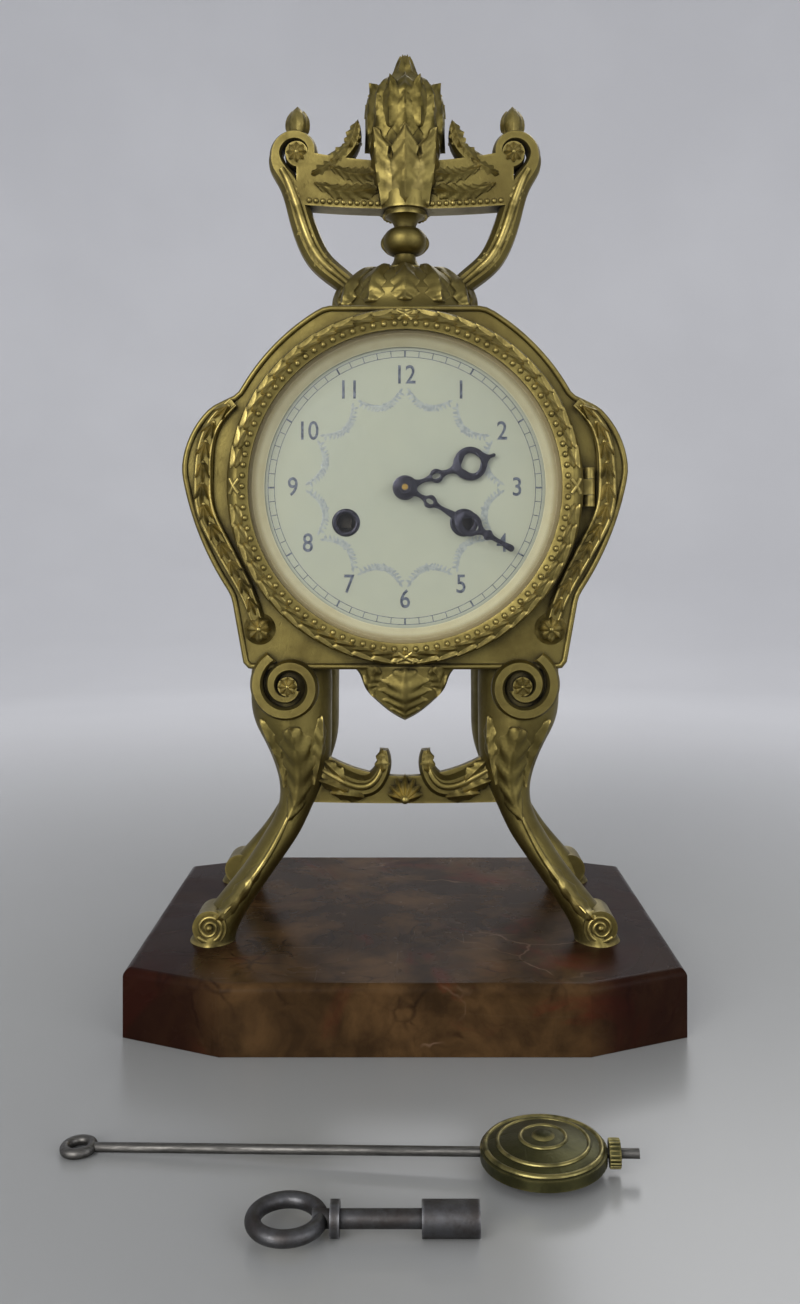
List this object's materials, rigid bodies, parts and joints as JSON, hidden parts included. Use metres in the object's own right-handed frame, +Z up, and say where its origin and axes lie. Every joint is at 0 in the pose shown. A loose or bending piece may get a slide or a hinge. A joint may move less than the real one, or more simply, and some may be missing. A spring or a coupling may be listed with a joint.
{
  "type": "mantel clock",
  "caption": "Bronze mantel clock on scrolled legs and a marble slab, with hinged bezel, toothed going and strike trains, and its pendulum and winding key lying in front.",
  "frame": {"origin": "centre of the base slab's underside", "axes": "+Z up, the dial faces -Y, +X to the right of a viewer who faces the dial"},
  "size_m": [0.164, 0.2257, 0.3105],
  "materials": {
    "aged_bronze": "aged gilt bronze",
    "movement_brass": "satin",
    "movement_steel": "ground steel",
    "red_marble": "polished",
    "gilt_sight": "bright gilt",
    "crystal": "clear",
    "white_enamel": "fired enamel",
    "blackened_hands": "blackened",
    "bell_metal": "turned",
    "dark_bob_brass": "tarnished",
    "dark_key_iron": "dark iron"
  },
  "bodies": {
    "clock_frame": {"front_left_leg": "aged_bronze", "front_right_leg": "aged_bronze", "rear_left_leg": "aged_bronze", "rear_right_leg": "aged_bronze", "front_apron": "aged_bronze", "pendant_leaf": "aged_bronze", "front_panel": "aged_bronze", "left_side_band": "aged_bronze", "right_side_band": "aged_bronze", "rear_panel": "aged_bronze", "left_shoulder_scroll": "aged_bronze", "right_shoulder_scroll": "aged_bronze", "top_dome": "aged_bronze", "crest_baluster": "aged_bronze", "crest_gallery": "aged_bronze", "crest_finial": "aged_bronze", "bezel_seat": "aged_bronze", "crest_nut": "movement_brass", "dial_plate": "movement_brass", "front_plate": "movement_brass", "back_plate": "movement_brass", "plate_pillars": "movement_brass", "pendulum_cock": "movement_brass", "bell_post": "movement_brass", "leg_screws": "movement_steel", "hinge_pins": "movement_steel", "ratchet_clicks": "movement_steel", "base_slab": "red_marble", "dial": "white_enamel", "bell": "bell_metal"},
    "bezel_door": {"bezel_ring": "aged_bronze", "bezel_glass": "crystal", "sight_ring": "gilt_sight"},
    "back_door": {"back_door": "aged_bronze"},
    "minute_arbor": {"centre_wheel": "movement_brass", "cannon_pinion": "movement_brass", "minute_hand": "blackened_hands", "hand_nut": "blackened_hands"},
    "hour_pipe": {"hour_wheel": "movement_brass", "hour_hand": "blackened_hands"},
    "minute_wheel": {"minute_wheel": "movement_brass"},
    "intermediate_wheel": {"intermediate_wheel": "movement_brass"},
    "going_barrel": {"going_barrel": "movement_brass"},
    "third_wheel": {"third_wheel": "movement_brass"},
    "escape_wheel": {"escape_wheel": "movement_brass"},
    "anchor": {"pallet_anchor": "movement_steel", "crutch": "movement_steel", "suspension_spring": "movement_steel"},
    "going_winding": {"going_winding_arbor": "movement_steel"},
    "strike_winding": {"strike_winding_arbor": "movement_steel"},
    "strike_pin_wheel": {"strike_pin_wheel": "movement_brass"},
    "strike_second_wheel": {"strike_second_wheel": "movement_brass"},
    "strike_barrel": {"strike_barrel": "movement_brass"},
    "strike_locking_wheel": {"strike_locking_wheel": "movement_brass"},
    "strike_fly": {"strike_fly": "movement_brass"},
    "hammer": {"strike_hammer": "movement_steel"},
    "pendulum": {"pendulum_rod": "movement_steel", "pendulum_bob": "dark_bob_brass"},
    "rating_nut": {"rating_nut": "movement_brass"},
    "winding_key": {"winding_key": "dark_key_iron"}
  },
  "joints": [
    {"name": "bezel_hinge", "type": "hinge", "parent": "clock_frame", "child": "bezel_door", "pos_m": [0.0573, -0.03065, 0.161], "axis": [0, 0, 1], "range_deg": [0, 100]},
    {"name": "back_door_hinge", "type": "hinge", "parent": "clock_frame", "child": "back_door", "pos_m": [0.0502, 0.0359, 0.161], "axis": [0, 0, -1], "range_deg": [0, 110]},
    {"name": "minute_turn", "type": "hinge", "parent": "clock_frame", "child": "minute_arbor", "pos_m": [0, 0, 0.161], "axis": [0, 1, 0], "continuous": true},
    {"name": "hour_turn", "type": "hinge", "parent": "clock_frame", "child": "hour_pipe", "pos_m": [0, 0, 0.161], "axis": [0, 1, 0], "continuous": true},
    {"name": "minute_wheel_turn", "type": "hinge", "parent": "clock_frame", "child": "minute_wheel", "pos_m": [0, 0, 0.149], "axis": [0, 1, 0], "continuous": true},
    {"name": "intermediate_turn", "type": "hinge", "parent": "clock_frame", "child": "intermediate_wheel", "pos_m": [0.01228, 0, 0.16829], "axis": [0, 1, 0], "continuous": true},
    {"name": "going_barrel_turn", "type": "hinge", "parent": "clock_frame", "child": "going_barrel", "pos_m": [0.0185, 0, 0.15], "axis": [0, 1, 0], "continuous": true},
    {"name": "third_turn", "type": "hinge", "parent": "clock_frame", "child": "third_wheel", "pos_m": [-0.0016, 0, 0.17318], "axis": [0, 1, 0], "continuous": true},
    {"name": "escape_turn", "type": "hinge", "parent": "clock_frame", "child": "escape_wheel", "pos_m": [0, 0, 0.1835], "axis": [0, 1, 0], "continuous": true},
    {"name": "anchor_swing", "type": "hinge", "parent": "clock_frame", "child": "anchor", "pos_m": [0, 0, 0.194], "axis": [0, 1, 0], "range_deg": [-3, 3]},
    {"name": "going_winding_turn", "type": "hinge", "parent": "clock_frame", "child": "going_winding", "pos_m": [0.0185, 0, 0.15], "axis": [0, 1, 0], "range_deg": [0, 1530]},
    {"name": "strike_winding_turn", "type": "hinge", "parent": "clock_frame", "child": "strike_winding", "pos_m": [-0.0185, 0, 0.15], "axis": [0, 1, 0], "range_deg": [0, 1530]},
    {"name": "strike_pin_turn", "type": "hinge", "parent": "clock_frame", "child": "strike_pin_wheel", "pos_m": [-0.01277, 0, 0.17657], "axis": [0, 1, 0], "continuous": true},
    {"name": "strike_second_turn", "type": "hinge", "parent": "clock_frame", "child": "strike_second_wheel", "pos_m": [-0.02447, 0, 0.16837], "axis": [0, 1, 0], "continuous": true},
    {"name": "strike_barrel_turn", "type": "hinge", "parent": "clock_frame", "child": "strike_barrel", "pos_m": [-0.0185, 0, 0.15], "axis": [0, 1, 0], "continuous": true},
    {"name": "strike_locking_turn", "type": "hinge", "parent": "clock_frame", "child": "strike_locking_wheel", "pos_m": [-0.01638, 0, 0.18649], "axis": [0, 1, 0], "continuous": true},
    {"name": "strike_fly_turn", "type": "hinge", "parent": "clock_frame", "child": "strike_fly", "pos_m": [-0.00945, 0, 0.19049], "axis": [0, 1, 0], "continuous": true},
    {"name": "hammer_lift", "type": "hinge", "parent": "clock_frame", "child": "hammer", "pos_m": [-0.0245, 0, 0.1905], "axis": [0, 1, 0], "range_deg": [0, 12]},
    {"name": "pendulum_lift", "type": "slide", "parent": "clock_frame", "child": "pendulum", "axis": [0, 0, 1], "range_m": [0, 0.12]},
    {"name": "rating_nut_turn", "type": "hinge", "parent": "pendulum", "child": "rating_nut", "pos_m": [0.04615, -0.12582, 0.00436], "axis": [0.9973, -0.0697, 0.025], "continuous": true},
    {"name": "key_lift", "type": "slide", "parent": "clock_frame", "child": "winding_key", "axis": [0, 0, 1], "range_m": [0, 0.12]}
  ],
  "couplings": [
    {"joint": "hour_turn", "follows": "minute_turn", "ratio": 0.083333},
    {"joint": "minute_wheel_turn", "follows": "minute_turn", "ratio": -0.33333},
    {"joint": "intermediate_turn", "follows": "minute_turn", "ratio": -0.16667},
    {"joint": "going_barrel_turn", "follows": "minute_turn", "ratio": 0.027778},
    {"joint": "third_turn", "follows": "minute_turn", "ratio": -12},
    {"joint": "escape_turn", "follows": "minute_turn", "ratio": 132},
    {"joint": "strike_second_turn", "follows": "strike_pin_turn", "ratio": -0.16667},
    {"joint": "strike_barrel_turn", "follows": "strike_pin_turn", "ratio": 0.027778},
    {"joint": "strike_locking_turn", "follows": "strike_pin_turn", "ratio": -8},
    {"joint": "strike_fly_turn", "follows": "strike_pin_turn", "ratio": 48}
  ]
}
